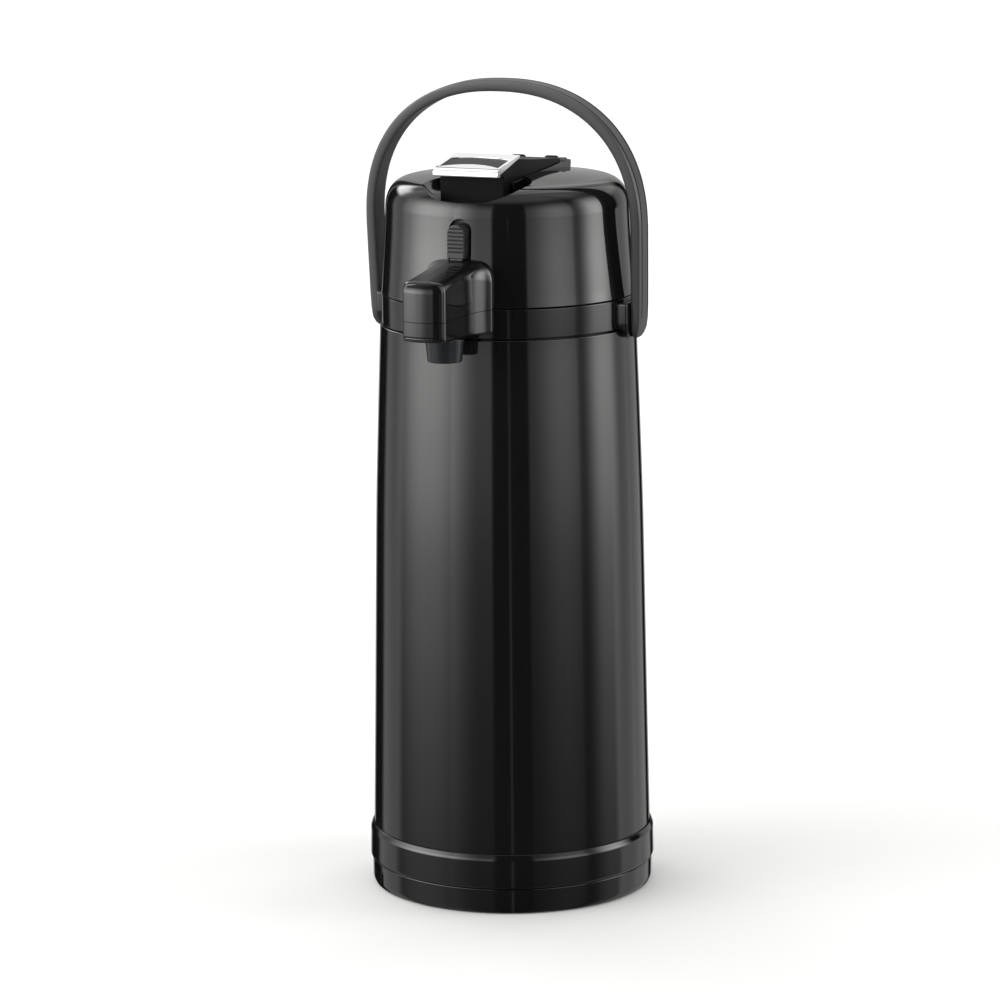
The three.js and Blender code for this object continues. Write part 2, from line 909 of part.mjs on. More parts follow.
function pushPlate() {
  const tip = [0, 30, 60, 90].map((degrees) => {
    const angle = (degrees * Math.PI) / 180;
    return [5 * Math.cos(angle), 384 + 5 * Math.sin(angle)];
  });
  return turned(
    [
      [0, BELLOWS_TOP_Z + CLEARANCE],
      [BELLOWS_RADIUS - 1, BELLOWS_TOP_Z + CLEARANCE],
      [BELLOWS_RADIUS - 1, 360.8],
      [12, 361.6],
      [5, 366],
      ...tip.map(([r, z], i) => [i === tip.length - 1 ? 0 : r, z]),
    ],
    28,
  );
}

// ---- Lever ----

function leverArm() {
  const { y, z } = LEVER_HINGE;
  const plate = prism(
    "x",
    [
      [-38.6, 389.4],
      [y - 5, 389.4],
      [y - 5, 396.4],
      [-5, 399.8],
      [-27, 402.4],
      [-38.6, 399.8],
    ],
    -LEVER_HALF_WIDTH,
    LEVER_HALF_WIDTH,
  );
  const front = prism(
    "x",
    [
      [-49, 378],
      [-41, 378],
      [-41, 389.5],
      [-38.5, 389.5],
      [-38.5, 399.8],
      [-54, 396.2],
      [-54, 395],
      [-49, 395],
    ],
    -BLOCK_HALF_WIDTH,
    BLOCK_HALF_WIDTH,
  );
  const neck = block([-13, 13], [y - 6, y], [z - 3.6, z + 4.2]);
  const knuckle = rod("x", 4.2, [y, z], -13, 13);
  const hump = (side) => rod("x", 5.4, [y, z], ...sided(side, 6.4, 13));
  const whole = union(plate, front, neck, knuckle, onBothSides(hump));
  return cut(whole, rod("x", 2.35, [y, z], -20, 20));
}

const chromeProfile = [
  [-58, 395.3],
  [-54.4, 395.3],
  [-54.4, 396.5],
  [-27, 402.85],
  [-26.2, 403.4],
  [-27, 404.5],
  [-57.2, 399.5],
  [-58.2, 398.2],
];

// The chrome's top between two places along Y, from one depth under it to another.
function chromeBand(fromY, toY, high, low) {
  const top = (y) => 404.5 + ((y + 27) * (404.5 - 399.5)) / (57.2 - 27);
  return [
    [fromY, top(fromY) - low],
    [toY, top(toY) - low],
    [toY, top(toY) - high],
    [fromY, top(fromY) - high],
  ];
}

const chromePlate = () =>
  cut(
    prism("x", chromeProfile, -CHROME_HALF_WIDTH, CHROME_HALF_WIDTH),
    prism("x", chromeBand(-50, -29, -2, 1), -15, 15),
  );

const insetPanel = () => prism("x", chromeBand(-49.7, -29.3, 0.1, 0.7), -14.7, 14.7);

// ---- Latch ----

function latchSlider() {
  const { faceY, half, bottomZ, arcZ } = LATCH;
  const button = prism("y", archShape(half, bottomZ, arcZ), faceY, -61.8);
  const rib = (i) => {
    const z = bottomZ + 2.4 + 2.1 * i;
    return block([0.2 - half, half - 0.2], [faceY - 0.8, faceY + 1], [z, z + 1.2]);
  };
  const ribs = Array.from({ length: 6 }, (_, i) => rib(i));
  const tongue = block([-3.4, 3.4], [-71.5, -69.2], [bottomZ - 2.6, bottomZ + 1]);
  return union(button, tongue, ...ribs);
}

const latchRetainer = () =>
  union(
    block([-8.2, 8.2], [-61.5, -59.5], [347, 376]),
    block([-4.5, 4.5], [-60, -54.2], [347.2, 349.6]),
  );

const latchSpring = () => tube(new Helix(1.9, 4, [0, -56.4], 350.3, 361.9), 0.35, 0, 32, 4);

// ---- Assembly ----

const airpot = new THREE.Group();

function addPart(name, solid, material) {
  const { vertProperties, triVerts } = solid.getMesh();
  const geometry = new THREE.BufferGeometry();
  geometry.setAttribute("position", new THREE.BufferAttribute(vertProperties, 3));
  geometry.setIndex(new THREE.BufferAttribute(triVerts, 1));
  const mesh = new THREE.Mesh(geometry, MATERIALS[material]);
  mesh.name = name;
  airpot.add(mesh);
}

addPart("swivel_foot", swivelFoot(), "glossBlack");
addPart("foot_rubber_ring", footRubberRing(), "rubber");
addPart("swivel_glide_ring", glideRing(), "silicone");
addPart("swivel_clip", swivelClip(), "steel");
addPart("base_band", baseBand(), "glossBlack");
addPart("body_shell", bodyShell(), "glossBlack");
addPart("liner_cushion", linerCushion(), "rubber");
addPart("inner_flask", innerFlask(), "liner");
addPart("outer_flask", outerFlask(), "liner");
addPart("neck_gasket", neckGasket(), "silicone");
addPart("collar", collar(), "glossBlack");
addPart("lid_hinge_pin", lidHingePin(), "steel");
addPart("stem_seat", stemSeat(), "innerPlastic");
addPart("dip_tube", dipTube(), "innerPlastic");
addPart("delivery_elbow", deliveryElbow(), "innerPlastic");
addPart("delivery_tube", deliveryTube(), "silicone");
addPart("spout_upper_shell", spoutUpperShell(), "glossBlack");
addPart("spout_lower_shell", spoutLowerShell(), "glossBlack");
addPart("spout_nozzle", spoutNozzle(), "satinBlack");
addPart("spout_screw_right", spoutScrew(1), "steel");
addPart("spout_screw_left", spoutScrew(-1), "steel");
addPart("handle", handle(), "satinBlack");
addPart("handle_pivot_right", handlePivot(1), "steel");
addPart("handle_pivot_left", handlePivot(-1), "steel");
addPart("lid_dome", lidDome(), "glossBlack");
addPart("lid_base", lidBase(), "innerPlastic");
addPart("lid_gasket", lidGasket(), "silicone");
SCREW_PLACES.forEach((place, i) => addPart(`lid_screw_${i + 1}`, lidScrew(place), "steel"));
addPart("bellows", bellows(), "silicone");
addPart("return_spring", returnSpring(), "steel");
addPart("air_valve", airValve(), "silicone");
addPart("push_plate", pushPlate(), "innerPlastic");
addPart("lever_arm", leverArm(), "satinBlack");
addPart("lever_chrome_plate", chromePlate(), "chrome");
addPart("lever_inset_panel", insetPanel(), "glossBlack");
addPart("lever_hinge_pin", leverHingePin(), "steel");
addPart("latch_slider", latchSlider(), "satinBlack");
addPart("latch_retainer", latchRetainer(), "innerPlastic");
addPart("latch_spring", latchSpring(), "steel");

export default airpot;
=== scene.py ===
"""Thermal coffee airpot: the visible pieces, their materials and a plain studio.

Shapes are worked out in millimetres and scaled to metres as each mesh is made.
The origin is on the pot's axis where it stands, +Z is up and the spout points along -Y.
"""
import json
import math

import bmesh
import bpy
from mathutils import Matrix, Vector


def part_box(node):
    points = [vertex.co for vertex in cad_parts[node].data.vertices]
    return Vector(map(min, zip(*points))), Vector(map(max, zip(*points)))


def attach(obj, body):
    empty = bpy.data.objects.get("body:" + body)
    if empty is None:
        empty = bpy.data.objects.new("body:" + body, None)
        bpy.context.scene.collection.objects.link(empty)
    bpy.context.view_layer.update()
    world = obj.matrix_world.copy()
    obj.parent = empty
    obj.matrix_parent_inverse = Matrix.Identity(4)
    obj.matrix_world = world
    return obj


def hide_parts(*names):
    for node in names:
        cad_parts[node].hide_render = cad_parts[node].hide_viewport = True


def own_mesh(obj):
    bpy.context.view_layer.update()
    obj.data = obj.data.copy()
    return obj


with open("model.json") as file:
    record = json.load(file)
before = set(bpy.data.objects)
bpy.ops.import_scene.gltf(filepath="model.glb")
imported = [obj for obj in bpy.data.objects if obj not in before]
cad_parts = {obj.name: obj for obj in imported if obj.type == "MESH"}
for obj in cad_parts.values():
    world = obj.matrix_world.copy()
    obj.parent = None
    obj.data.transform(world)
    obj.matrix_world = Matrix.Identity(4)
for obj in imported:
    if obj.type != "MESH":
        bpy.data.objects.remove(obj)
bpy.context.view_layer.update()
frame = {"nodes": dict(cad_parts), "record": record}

MM = 0.001


def extent(node):
    """A CAD node's lowest and highest corners in millimetres."""
    low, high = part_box(node)
    return low / MM, high / MM


# ---- Places taken from the frame, in mm ----

FOOT_RADIUS = extent("swivel_foot")[1].x
BAND_LOW, BAND_HIGH = extent("base_band")
BODY_LOW, BODY_HIGH = extent("body_shell")
PAD_LOW, PAD_HIGH = extent("spout_lower_shell")[0], extent("spout_upper_shell")[1]
NOZZLE_LOW, NOZZLE_HIGH = extent("spout_nozzle")
PIN_LOW, PIN_HIGH = extent("lid_hinge_pin")
LEVER_PIN_LOW, LEVER_PIN_HIGH = extent("lever_hinge_pin")
STRAP_LOW, STRAP_HIGH = extent("handle")
PIVOT_LOW, PIVOT_HIGH = extent("handle_pivot_right")
CHROME_LOW, CHROME_HIGH = extent("lever_chrome_plate")
SLIDER_LOW, SLIDER_HIGH = extent("latch_slider")
LID_RADIUS = extent("lid_dome")[1].x

NOZZLE_Y = (NOZZLE_LOW.y + NOZZLE_HIGH.y) / 2
LID_HINGE_Y = (PIN_LOW.y + PIN_HIGH.y) / 2
LID_HINGE_Z = (PIN_LOW.z + PIN_HIGH.z) / 2
LEVER_HINGE_Y = (LEVER_PIN_LOW.y + LEVER_PIN_HIGH.y) / 2
LEVER_HINGE_Z = (LEVER_PIN_LOW.z + LEVER_PIN_HIGH.z) / 2
HANDLE_PIVOT_Z = (PIVOT_LOW.z + PIVOT_HIGH.z) / 2

# ---- Sizes that no box gives, in mm ----

GAP = 0.3  # between pieces that meet
FOOT_TOP_Z = BAND_LOW.z - 0.5
FOOT_SLITS = (-45, 135)  # degrees round the foot
COLLAR_RADIUS = LID_RADIUS - GAP
COLLAR_BOTTOM_Z = BODY_HIGH.z + 0.4
COLLAR_TOP_Z = 327.1
SEAM_Z = COLLAR_TOP_Z + GAP
LID_BOTTOM_Z = SEAM_Z + GAP
LID_WALL = 2.2
# The lid's shoulder: where its curve starts, its size and the power of its superellipse.
SHOULDER = {"r": 51, "z": 373, "width": 14.8, "height": 17, "power": 2.3}
CROWN_RISE = 3
DISH = {"y": -44, "floor_z": 382, "floor_r": 23, "top_r": 30, "top_z": 391}
WELL = {"front_y": -49.6, "front_half": 18.6, "step_y": -37.6, "rear_half": 17.4, "rear_y": 45.8}
RIM_TOP = {"front_z": 390.8, "rear_z": 394.8}
SPOUT_HALF_WIDTH = 12
SPOUT_NOSE_Y = -117.4
SPOUT_BOTTOM_Z = 314.5
SPOUT_NOSE_RISE = 1.7
SPOUT_FLOOR = 2.2
SEAM_DROP = 0.7
PAD_HALF_WIDTH = PAD_HIGH.x
PAD_TOP_Z = PAD_HIGH.z
PAD_CORNER = 11
# The spout's nose: its top corners and crown, the radius and degrees of the roll round its edge,
# how far its face leans out at the seam and how far its middle bows forward.
NOSE = {"corner": 4.6, "crown": 1.1, "roll": 3.2, "turn": 64, "lean": 2.4, "bow": 3.1}
FLARE = ((12, -94), (12.6, -76), (19, -68.6))  # where the arm widens into its pad
LATCH = {"half": 4.8, "bottom_z": 354, "arc_z": 367, "slot_half": 6.5, "slot_bottom_z": 352.2,
         "travel": 2.2}
LATCH_NOTCH = ((-4.1, -72.3, 350.8), (4.1, -68.3, 358))  # where the latch's tongue drops in
LUG = {"half": 12, "top_z": 325.6, "bottom_z": 306, "face": 73}
INSET = {"half": 16.7, "front_y": -53.4, "front_rise": 5.4, "rear_y": -37, "rear_rise": 3}
LEVER_HALF_WIDTH = 17
BLOCK_HALF_WIDTH = 18.2
HANDLE_ARCH_Z = 365
HANDLE_RISE = 77.5
HANDLE_POWER = 2.27
HANDLE_THICKNESS = 5.7
HANDLE_WIDTH = 14
HANDLE_LEAN = math.radians(3)

FINE = 224  # segments round a large turned piece
SMALL = 64
BEVEL_ANGLE = math.radians(35)  # an edge that turns more than this is rounded
GRAIN_DEPTH = 0.00002  # in metres

CAMERA_AZIMUTH = math.radians(22.5)
# Lengths in mm and angles in degrees: how far off, how high, how much it looks down, and so on.
CAMERA = {"distance": 2183, "height": 640, "pitch": 11.09, "aside": 5.3, "roll": 0.47, "lens": 146.6}
FLOOR_REACH = 14  # metres each way


# ---- Outlines ----


def soft(corners, steps=5, closed=False):
    """An outline whose corners (a, b, setback) become curves that start a setback before them."""
    points = []
    count = len(corners)
    for i, corner in enumerate(corners):
        here = Vector(corner[:2])
        setback = corner[2] if len(corner) > 2 else 0
        if setback == 0 or (not closed and i in (0, count - 1)):
            points.append(tuple(here))
            continue
        before = Vector(corners[i - 1][:2]) - here
        after = Vector(corners[(i + 1) % count][:2]) - here
        start = here + before.normalized() * min(setback, before.length / 2.01)
        end = here + after.normalized() * min(setback, after.length / 2.01)
        for k in range(steps + 1):
            t = k / steps
            points.append(tuple(start * (1 - t) ** 2 + here * (2 * t * (1 - t)) + end * t * t))
    return points


def curve_through(knots):
    """A smooth line through knots, as a Catmull-Rom curve."""
    per_span = 8
    ends = [knots[0], *knots, knots[-1]]
    line = []
    for i in range(1, len(ends) - 2):
        a, b, c, d = (Vector(ends[i + k]) for k in (-1, 0, 1, 2))
        for k in range(per_span):
            t = k / per_span
            line.append(tuple(0.5 * (2 * b + (c - a) * t + (2 * a - 5 * b + 4 * c - d) * t ** 2
                                     + (3 * b - a - 3 * c + d) * t ** 3)))
    return line + [tuple(knots[-1])]


# ---- Meshes ----


def object_from(name, bm):
    bmesh.ops.remove_doubles(bm, verts=bm.verts, dist=1e-7)
    bmesh.ops.recalc_face_normals(bm, faces=bm.faces)
    mesh = bpy.data.meshes.new(name)
    bm.to_mesh(mesh)
    bm.free()
    made = bpy.data.objects.new(name, mesh)
    bpy.context.scene.collection.objects.link(made)
    return made


def lathe(name, profile, segments=FINE, closed=False, at=(0, 0)):
    """A solid or ring turned about a vertical axis, from (radius, height) points in mm."""
    bm = bmesh.new()
    rings = []
    for r, z in profile:
        if r < 1e-6:
            rings.append([bm.verts.new((at[0] * MM, at[1] * MM, z * MM))] * segments)
            continue
        angles = (2 * math.pi * k / segments for k in range(segments))
        rings.append([bm.verts.new(((at[0] + r * math.sin(t)) * MM,
                                    (at[1] - r * math.cos(t)) * MM, z * MM)) for t in angles])
    pairs = list(zip(rings, rings[1:])) + ([(rings[-1], rings[0])] if closed else [])
    for low, high in pairs:
        for k in range(segments):
            corners = [low[k], low[(k + 1) % segments], high[(k + 1) % segments], high[k]]
            corners = list(dict.fromkeys(corners))
            if len(corners) > 2:
                bm.faces.new(corners)
    return object_from(name, bm)


def skin(bm, rings):
    """Adds the faces between each closed ring of vertices and the next."""
    for a, b in zip(rings, rings[1:]):
        count = len(a)
        for k in range(count):
            bm.faces.new([a[k], a[(k + 1) % count], b[(k + 1) % count], b[k]])


PLANES = {
    "x": lambda a, b, depth: (depth, a, b),
    "y": lambda a, b, depth: (a, depth, b),
    "z": lambda a, b, depth: (a, b, depth),
}


def extrude(name, along, outline, low, high):
    """An outline in mm extruded along x, y or z from low to high."""
    bm = bmesh.new()
    place = PLANES[along]
    ends = [[bm.verts.new([v * MM for v in place(a, b, depth)]) for a, b in outline]
            for depth in (low, high)]
    bm.faces.new(ends[0])
    bm.faces.new(ends[1])
    skin(bm, ends)
    return object_from(name, bm)


def box(name, low, high):
    (x0, y0, z0), (x1, y1, z1) = low, high
    return extrude(name, "z", [(x0, y0), (x1, y0), (x1, y1), (x0, y1)], z0, z1)


def circle(a, b, radius, count=SMALL):
    return [(a + radius * math.cos(2 * math.pi * k / count),
             b + radius * math.sin(2 * math.pi * k / count)) for k in range(count)]


def rod(name, along, radius, a, b, low, high, count=SMALL):
    return extrude(name, along, circle(a, b, radius, count), low, high)


def pivot_bore(side):
    """The hole for one of the handle's pivots, through the collar's lug and the strap."""
    return rod("pivot", "x", 3.35, 0, HANDLE_PIVOT_Z, *sorted((side * 64, side * 76.8)))


def screw_bore(side):
    """The hole for one of the screws that hold the spout to the collar."""
    return rod("screw", "y", 1.55, side * 13.5, 316.9, -75, -58, 24)


def hinge_bore(y, z):
    """The hole for a hinge pin across the pot."""
    return rod("hinge", "x", 2.35, y, z, -20, 20)


# ---- Edits, each applied at once ----


def applied(target):
    """The target with its modifiers turned into mesh."""
    graph = bpy.context.evaluated_depsgraph_get()
    mesh = bpy.data.meshes.new_from_object(target.evaluated_get(graph))
    target.modifiers.clear()
    old = target.data
    target.data = mesh
    bpy.data.meshes.remove(old)
    return target


def combine(target, operation, *tools):
    for tool in tools:
        modifier = target.modifiers.new("combine", "BOOLEAN")
        modifier.operation = operation
        modifier.solver = "EXACT"
        modifier.object = tool
        applied(target)
        bpy.data.objects.remove(tool)
    return target


def cut(target, *tools):
    return combine(target, "DIFFERENCE", *tools)


def joined(target, *tools):
    return combine(target, "UNION", *tools)


def bevelled(target, width, segments=3):
    bm = bmesh.new()
    bm.from_mesh(target.data)
    bmesh.ops.remove_doubles(bm, verts=bm.verts, dist=0.02 * MM)
    bmesh.ops.dissolve_degenerate(bm, edges=bm.edges, dist=0.01 * MM)
    bm.to_mesh(target.data)
    bm.free()
    modifier = target.modifiers.new("bevel", "BEVEL")
    modifier.width = width * MM
    modifier.segments = segments
    modifier.limit_method = "ANGLE"
    modifier.angle_limit = BEVEL_ANGLE
    modifier.use_clamp_overlap = True
    modifier.miter_outer = "MITER_ARC"
    return applied(target)


def turned_about(target, axis, degrees, centre):
    """The target's mesh turned about an axis through a centre given in mm."""
    centre = Vector(centre) * MM
    turn = Matrix.Translation(centre) @ Matrix.Rotation(math.radians(degrees), 4, axis)
    target.data.transform(turn @ Matrix.Translation(-centre))
    return target


def finish_piece(piece, body, slot, *nodes, sharp=32):
    """Shades a piece, gives it its material and puts it on its body in place of CAD nodes."""
    piece.data.shade_smooth()
    piece.data.set_sharp_from_angle(angle=math.radians(sharp))
    modifier = piece.modifiers.new("normals", "WEIGHTED_NORMAL")
    modifier.keep_sharp = True
    modifier.weight = 100
    applied(piece)
    piece.data.materials.clear()
    piece.data.materials.append(MATERIALS[slot])
    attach(piece, body)
    if nodes:
        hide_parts(*nodes)
    return piece


# ---- Materials ----


class Graph:
    """A short way to add nodes to a material or world tree."""

    def __init__(self, tree):
        self.tree = tree
        tree.nodes.clear()

    def node(self, kind, inputs=None, **settings):
        made = self.tree.nodes.new(kind)
        for name, value in settings.items():
            setattr(made, name, value)
        for key, value in (inputs or {}).items():
            if isinstance(value, bpy.types.NodeSocket):
                self.tree.links.new(value, made.inputs[key])
            else:
                made.inputs[key].default_value = value
        return made

    def math(self, operation, a, b=0.0):
        return self.node("ShaderNodeMath", {0: a, 1: b}, operation=operation).outputs[0]

    def step(self, value, low, high, before, after):
        """A smooth step from one level to another as the value goes from low to high."""
        return self.node("ShaderNodeMapRange", {"Value": value, "From Min": low, "From Max": high,
                                                "To Min": before, "To Max": after},
                         interpolation_type="SMOOTHSTEP").outputs[0]


def noise(graph, scale, detail=3.0):
    place = graph.node("ShaderNodeTexCoord").outputs["Object"]
    found = graph.node("ShaderNodeTexNoise", {"Vector": place, "Scale": scale, "Detail": detail})
    return found.outputs["Fac"]


def surface(name, dark, light, rough, patch=30, grain=900, bump=0.02, **shader):
    """A moulded, drawn or cast surface: two close colours in patches, uneven gloss, fine grain."""
    material = bpy.data.materials.new(name)
    material.use_nodes = True
    graph = Graph(material.node_tree)
    patches = noise(graph, patch)
    colour = graph.node("ShaderNodeMix", {"Factor": patches}, data_type="RGBA")
    colour.inputs["A"].default_value = (*dark, 1)
    colour.inputs["B"].default_value = (*light, 1)
    gloss = graph.node("ShaderNodeMapRange", {"Value": patches, "From Min": 0.3, "From Max": 0.7,
                                              "To Min": rough[0], "To Max": rough[1]})
    relief = graph.node("ShaderNodeBump", {"Height": noise(graph, grain, 2.0), "Strength": bump,
                                           "Distance": GRAIN_DEPTH})
    inputs = {"Base Color": colour.outputs["Result"], "Roughness": gloss.outputs[0],
              "Normal": relief.outputs[0], **shader}
    principled = graph.node("ShaderNodeBsdfPrincipled", inputs)
    graph.node("ShaderNodeOutputMaterial", {"Surface": principled.outputs[0]})
    return material


def grey(value, tint=0.0):
    """A neutral colour, bluer for a positive tint."""
    return (value * (1 - tint), value, value * (1 + tint))


MATERIALS = {
    "gloss_black": surface("gloss_black", grey(0.0045), grey(0.0065), (0.055, 0.085), 12, 60, 0.05),
    "satin_black": surface("satin_black", grey(0.028, 0.03), grey(0.036, 0.03), (0.36, 0.46), 60, 2600, 0.3),
    "lever_black": surface("lever_black", grey(0.005), grey(0.008), (0.3, 0.38), 60, 1800, 0.15,
                           **{"Specular IOR Level": 0.04}),
    "latch_black": surface("latch_black", grey(0.02), grey(0.027), (0.3, 0.38), 80, 2200, 0.2),
    "nozzle_black": surface("nozzle_black", grey(0.012, 0.12), grey(0.017, 0.12), (0.2, 0.28), 70, 1600, 0.1),
    "inset_panel": surface("inset_panel", grey(0.008, -0.05), grey(0.012, -0.05), (0.16, 0.22), 50, 900, 0.06,
                           **{"Specular IOR Level": 0.04}),
    "chrome_trim": surface("chrome_trim", grey(0.83, 0.01), grey(0.88, 0.01), (0.04, 0.08), 60, 120, 0.03,
                           Metallic=1.0),
    "black_rubber": surface("black_rubber", grey(0.016), grey(0.024), (0.7, 0.85), 120, 1800, 0.5),
    "silicone": surface("silicone", (0.56, 0.54, 0.48), (0.66, 0.64, 0.58), (0.4, 0.55), 50, 900, 0.15),
    "inner_plastic": surface("inner_plastic", grey(0.045), grey(0.06), (0.4, 0.52), 50, 1500, 0.25),
    "white_nylon": surface("white_nylon", (0.7, 0.69, 0.64), (0.77, 0.76, 0.72), (0.45, 0.55), 50, 1200,
                           0.15),
    "silvered_glass": surface("silvered_glass", grey(0.72, 0.02), grey(0.8, 0.02), (0.04, 0.09), 20, 60, 0.05,
                              Metallic=1.0),
    "spring_steel": surface("spring_steel", grey(0.46), grey(0.56), (0.22, 0.34), 90, 2400, 0.15,
                            Metallic=1.0),
}


def paint_frame():
    """Gives every CAD node the procedural material of its slot."""
    for part in frame["record"]["subparts"]:
        data = frame["nodes"][part["node"]].data
        data.materials.clear()
        data.materials.append(MATERIALS[part["material_slot"]])


# ---- Base and body ----


def make_foot():
    profile = soft([
        (0, 0), (9, 0, 0.6), (9, 4.6), (72.4, 4.6), (72.4, 0.4, 0.4), (FOOT_RADIUS - 0.9, 0.4, 0.6),
        (FOOT_RADIUS - 0.15, 2.4, 1.2), (FOOT_RADIUS, FOOT_TOP_Z, 0.5), (72, FOOT_TOP_Z, 0.3),
        (72, 7.4), (68.4, 7.4), (68.4, 10.7), (59.6, 10.7), (59.6, 7.4), (8.5, 7.4), (5.8, 10),
        (5.8, 17.2), (4.8, 17.2), (4.8, 19.1), (5.8, 19.1), (5.2, 20.4), (0, 20.4),
    ])
    foot = lathe("foot_shell", profile)
    for degrees in FOOT_SLITS:
        slit = box("slit", (-1.2, FOOT_RADIUS - 1.2, 2.8), (1.2, FOOT_RADIUS + 2, 9.6))
        cut(foot, turned_about(slit, "Z", degrees, (0, 0, 0)))
    return finish_piece(foot, "foot", "gloss_black", "swivel_foot")


def make_rubber_ring():
    top = extent("foot_rubber_ring")[1].z
    profile = soft([(61, 0, 0.4), (71, 0, 0.6), (72, 1, 0.4), (72, top, 0.3), (60, top, 0.3),
                    (60, 1, 0.4)], closed=True)
    return finish_piece(lathe("foot_tread", profile, closed=True), "foot", "black_rubber",
                        "foot_rubber_ring")


def make_band():
    radius = BAND_HIGH.x
    low, high = BAND_LOW.z, BAND_HIGH.z
    outside = soft([(6.3, low), (radius - 0.55, low, 0.6), (radius - 0.05, low + 0.8, 0.7),
                    (radius - 0.35, high - 2.6, 0.9), (76.95, high, 0.5), (76.7, high, 0.1),
                    (76.7, 19.7)])
    inside = [(73.8, 19.7), (73.8, 28), (71.4, 28), (71.4, 17.2), (6.3, 17.2)]
    return finish_piece(lathe("base_ring", outside + inside, closed=True), "pot", "gloss_black",
                        "base_band")


# How far the wall leans in at each height above the body's foot.
BODY_TAPER = [(0, 0), (17, 0.15), (77, 1.3), (133, 2.35), (189, 3.45), (234, 4.85), (278, 6.45),
              (290.6, 6.85)]
BODY_WALL = 1.8


def make_body():
    knots = [(BODY_HIGH.x - inward, BODY_LOW.z + up) for up, inward in BODY_TAPER]
    outside = curve_through(knots)
    top_r, top_z = outside[-1]
    outside = outside[:-1] + soft([(top_r, top_z - 1.2), (top_r, top_z, 0.6), (top_r - BODY_WALL, top_z)])
    inside = [(r - BODY_WALL, z) for r, z in reversed(knots)]
    return finish_piece(lathe("body_tube", outside + inside, closed=True), "pot", "gloss_black",
                        "body_shell")


# ---- Collar ----


def collar_lug(side):
    half, low = LUG["half"], LUG["bottom_z"]
    outline = soft([(-half, LUG["top_z"], 1.5), (-half, low, 9), (half, low, 9),
                    (half, LUG["top_z"], 1.5)], steps=9, closed=True)
    lug = bevelled(extrude("lug", "x", outline, *sorted((side * 66, side * LUG["face"]))), 1.6, 5)
    return cut(lug, rod("room", "z", 70.1, 0, 0, 300, COLLAR_BOTTOM_Z, FINE))


def hinge_ear(side):
    y, z = LID_HINGE_Y, LID_HINGE_Z
    outline = soft([(66.4, 312), (70, 312, 1), (y + 4.6, z - 2.5, 2), (y + 4.6, z + 2.4, 2.6),
                    (y + 1, z + 4.6, 2.6), (y - 3.6, z + 4.4, 2), (y - 4.4, z + 1.5, 0.6),
                    (66.4, z + 1.5)])
    return bevelled(extrude("ear", "x", outline, *sorted((side * 12.2, side * 17.2))), 0.5, 2)


def make_collar():
    top = COLLAR_TOP_Z
    profile = soft([
        (COLLAR_RADIUS, COLLAR_BOTTOM_Z, 0.9), (COLLAR_RADIUS, top, 0.6), (61.6, top, 0.3),
        (60.8, top - 0.8, 0.3), (60.8, 322, 1), (44, 322, 2.5), (33, 309.5, 2), (27.6, 307.5, 0.5),
        (27.6, 302.6), (34.5, 302.6), (34.5, 306.8), (45.5, 319.4), (65.8, 319.4), (65.8, 304),
        (67, 304), (67, COLLAR_BOTTOM_Z),
    ], closed=True)
    collar = lathe("collar_ring", profile, closed=True)
    for side in (1, -1):
        joined(collar, collar_lug(side), hinge_ear(side))
    for side in (1, -1):
        cut(collar, pivot_bore(side), screw_bore(side))
    cut(collar, hinge_bore(LID_HINGE_Y, LID_HINGE_Z), delivery_passage())
    return finish_piece(collar, "pot", "gloss_black", "collar")


def delivery_passage():
    """The bore that lets the delivery tube through the collar's wall."""
    near, far, low, high = 33, 71, 313.7, 321.2  # its ends' distances from the axis, and heights
    bore = rod("passage", "y", 3.7, 0, 0, -20, 20, 32)
    turned_about(bore, "X", -math.degrees(math.atan2(high - low, far - near)), (0, 0, 0))
    middle = (0, -(near + far) / 2, (low + high) / 2)
    bore.data.transform(Matrix.Translation([v * MM for v in middle]))
    return bore


# ---- Lid ----


def lid_outline():
    r, z = SHOULDER["r"], SHOULDER["z"]
    power = 2 / SHOULDER["power"]
    steps = 26
    arc = []
    for k in range(steps + 1):
        angle = math.pi / 2 * k / steps
        arc.append((r + SHOULDER["width"] * max(math.cos(angle), 0) ** power,
                    z + SHOULDER["height"] * math.sin(angle) ** power))
    crown = [(across, z + SHOULDER["height"] + CROWN_RISE * (1 - (across / r) ** 2))
             for across in (44, 37, 30, 22, 14, 7, 0)]
    wall = soft([(LID_RADIUS - 0.5, LID_BOTTOM_Z), (LID_RADIUS, LID_BOTTOM_Z, 0.4), (68.2, 333, 2),
                 (66.4, 360, 8), arc[0]], steps=6)
    return wall[:-1] + arc + crown


def dish(grow=0.0):
    """The dish under the lever's lip, as a solid that is grown by the lid's wall to line it."""
    floor_z, floor_r, top_r = DISH["floor_z"] - grow, DISH["floor_r"] + grow, DISH["top_r"] + grow
    profile = soft([(0, floor_z), (floor_r, floor_z, 5.5), (top_r, DISH["top_z"], 4.5),
                    (top_r + 3.2, DISH["top_z"] + 6.3), (0, DISH["top_z"] + 6.3)], steps=8)
    return lathe("dish", profile, 160, at=(0, DISH["y"]))


def lid_room():
    """The hollow under the lid's wall."""
    outline = lid_outline()
    inside = [(max(r - LID_WALL, 0), z - LID_WALL) for r, z in outline[:-1] if z > 340]
    foot = LID_RADIUS - LID_WALL
    return lathe("room", [(0, LID_BOTTOM_Z - 4), (foot, LID_BOTTOM_Z - 4), (foot - 0.5, 333), *inside,
                          (0, inside[-1][1])])


def lever_rim():
    rear_y = WELL["rear_y"] + 1.2
    front_y = WELL["step_y"] + 1
    side = soft([(front_y, 386), (rear_y - 1.6, 386), (rear_y, 393.4, 0.5),
                 (rear_y - 1, RIM_TOP["rear_z"], 0.8), (front_y, RIM_TOP["front_z"])])
    rim = extrude("rim", "x", side, -WELL["front_half"], WELL["front_half"])
    return bevelled(rim, 0.35, 2)


